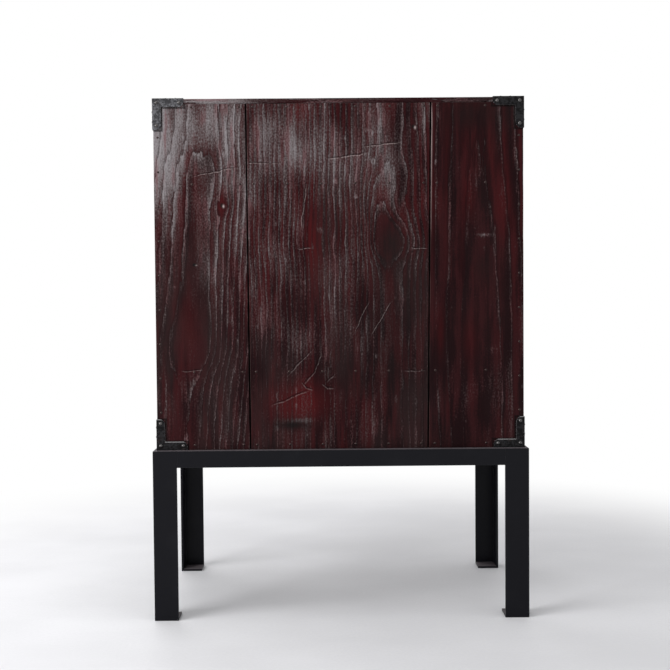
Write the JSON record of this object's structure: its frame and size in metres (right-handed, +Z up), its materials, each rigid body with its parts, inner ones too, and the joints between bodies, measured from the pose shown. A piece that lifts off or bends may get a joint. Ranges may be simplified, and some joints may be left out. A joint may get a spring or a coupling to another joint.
{
  "type": "tansu chest on stand",
  "caption": "Wooden tansu chest with boarded back, iron corner fittings, drawers with swing handles, sliding doors and a lock, standing on an angle-iron stand.",
  "frame": {"origin": "on the floor, under the middle of the stand", "axes": "+Z up, +Y towards the boarded back, -Y towards the drawer fronts, +X to the right seen from the front"},
  "size_m": [0.784, 0.456, 1.0902],
  "materials": {
    "lacquered_wood": "worn dark red lacquer over open grain",
    "plain_wood": "bare planed softwood",
    "wrought_iron": "blackened forged iron, rubbed bright on edges",
    "black_steel": "satin black paint"
  },
  "bodies": {
    "chest": {"stand_leg_back_right": "black_steel", "stand_leg_back_left": "black_steel", "stand_leg_front_right": "black_steel", "stand_leg_front_left": "black_steel", "foot_plates": "black_steel", "stand_rail_back": "black_steel", "stand_rail_right": "black_steel", "stand_rail_front": "black_steel", "stand_rail_left": "black_steel", "top_board": "lacquered_wood", "bottom_board": "lacquered_wood", "side_board_left": "lacquered_wood", "side_board_right": "lacquered_wood", "upper_shelf": "lacquered_wood", "lower_shelf": "lacquered_wood", "centre_partition": "lacquered_wood", "back_board_left": "lacquered_wood", "back_board_centre": "lacquered_wood", "back_board_right": "lacquered_wood", "fitting_top_back_right": "wrought_iron", "fitting_top_back_left": "wrought_iron", "fitting_top_front_right": "wrought_iron", "fitting_top_front_left": "wrought_iron", "fitting_bottom_back_right": "wrought_iron", "fitting_bottom_back_left": "wrought_iron", "fitting_bottom_front_right": "wrought_iron", "fitting_bottom_front_left": "wrought_iron", "fitting_nails": "wrought_iron", "back_board_nails": "wrought_iron"},
    "right_door": {"right_door_panel": "lacquered_wood", "right_door_cleats": "lacquered_wood", "right_door_pull": "wrought_iron"},
    "left_door": {"left_door_panel": "lacquered_wood", "left_door_cleats": "lacquered_wood", "left_door_pull": "wrought_iron"},
    "upper_left_drawer": {"upper_left_drawer_front": "lacquered_wood", "upper_left_drawer_side_left": "plain_wood", "upper_left_drawer_side_right": "plain_wood", "upper_left_drawer_bottom": "plain_wood", "upper_left_drawer_back": "plain_wood", "upper_left_drawer_handle_posts": "wrought_iron"},
    "upper_right_drawer": {"upper_right_drawer_front": "lacquered_wood", "upper_right_drawer_side_right": "plain_wood", "upper_right_drawer_side_left": "plain_wood", "upper_right_drawer_bottom": "plain_wood", "upper_right_drawer_back": "plain_wood", "upper_right_drawer_handle_posts": "wrought_iron"},
    "upper_left_handle": {"upper_left_handle": "wrought_iron"},
    "upper_right_handle": {"upper_right_handle": "wrought_iron"},
    "lower_drawer": {"lower_drawer_front": "lacquered_wood", "lower_drawer_side_left": "plain_wood", "lower_drawer_side_right": "plain_wood", "lower_drawer_bottom": "plain_wood", "lower_drawer_back": "plain_wood", "lower_drawer_handle_posts": "wrought_iron", "lock_plate": "wrought_iron", "lock_case": "wrought_iron"},
    "lower_left_handle": {"lower_left_handle": "wrought_iron"},
    "lower_right_handle": {"lower_right_handle": "wrought_iron"},
    "lock_bolt": {"lock_bolt": "wrought_iron"}
  },
  "joints": [
    {"name": "upper_left_drawer_slide", "type": "slide", "parent": "chest", "child": "upper_left_drawer", "axis": [0, -1, 0], "range_m": [0, 0.33]},
    {"name": "upper_right_drawer_slide", "type": "slide", "parent": "chest", "child": "upper_right_drawer", "axis": [0, -1, 0], "range_m": [0, 0.33]},
    {"name": "lower_drawer_slide", "type": "slide", "parent": "chest", "child": "lower_drawer", "axis": [0, -1, 0], "range_m": [0, 0.33]},
    {"name": "upper_left_handle_swing", "type": "hinge", "parent": "upper_left_drawer", "child": "upper_left_handle", "pos_m": [-0.187, -0.22055, 1.0039], "axis": [-1, 0, 0], "range_deg": [0, 165]},
    {"name": "upper_right_handle_swing", "type": "hinge", "parent": "upper_right_drawer", "child": "upper_right_handle", "pos_m": [0.187, -0.22055, 1.0039], "axis": [-1, 0, 0], "range_deg": [0, 165]},
    {"name": "lower_left_handle_swing", "type": "hinge", "parent": "lower_drawer", "child": "lower_left_handle", "pos_m": [-0.2, -0.22055, 0.4564], "axis": [-1, 0, 0], "range_deg": [0, 165]},
    {"name": "lower_right_handle_swing", "type": "hinge", "parent": "lower_drawer", "child": "lower_right_handle", "pos_m": [0.2, -0.22055, 0.4564], "axis": [-1, 0, 0], "range_deg": [0, 165]},
    {"name": "right_door_slide", "type": "slide", "parent": "chest", "child": "right_door", "axis": [-1, 0, 0], "range_m": [0, 0.3515]},
    {"name": "left_door_slide", "type": "slide", "parent": "chest", "child": "left_door", "axis": [1, 0, 0], "range_m": [0, 0.3515]},
    {"name": "lock_bolt_rise", "type": "slide", "parent": "lower_drawer", "child": "lock_bolt", "axis": [0, 0, 1], "range_m": [0, 0.012]}
  ]
}
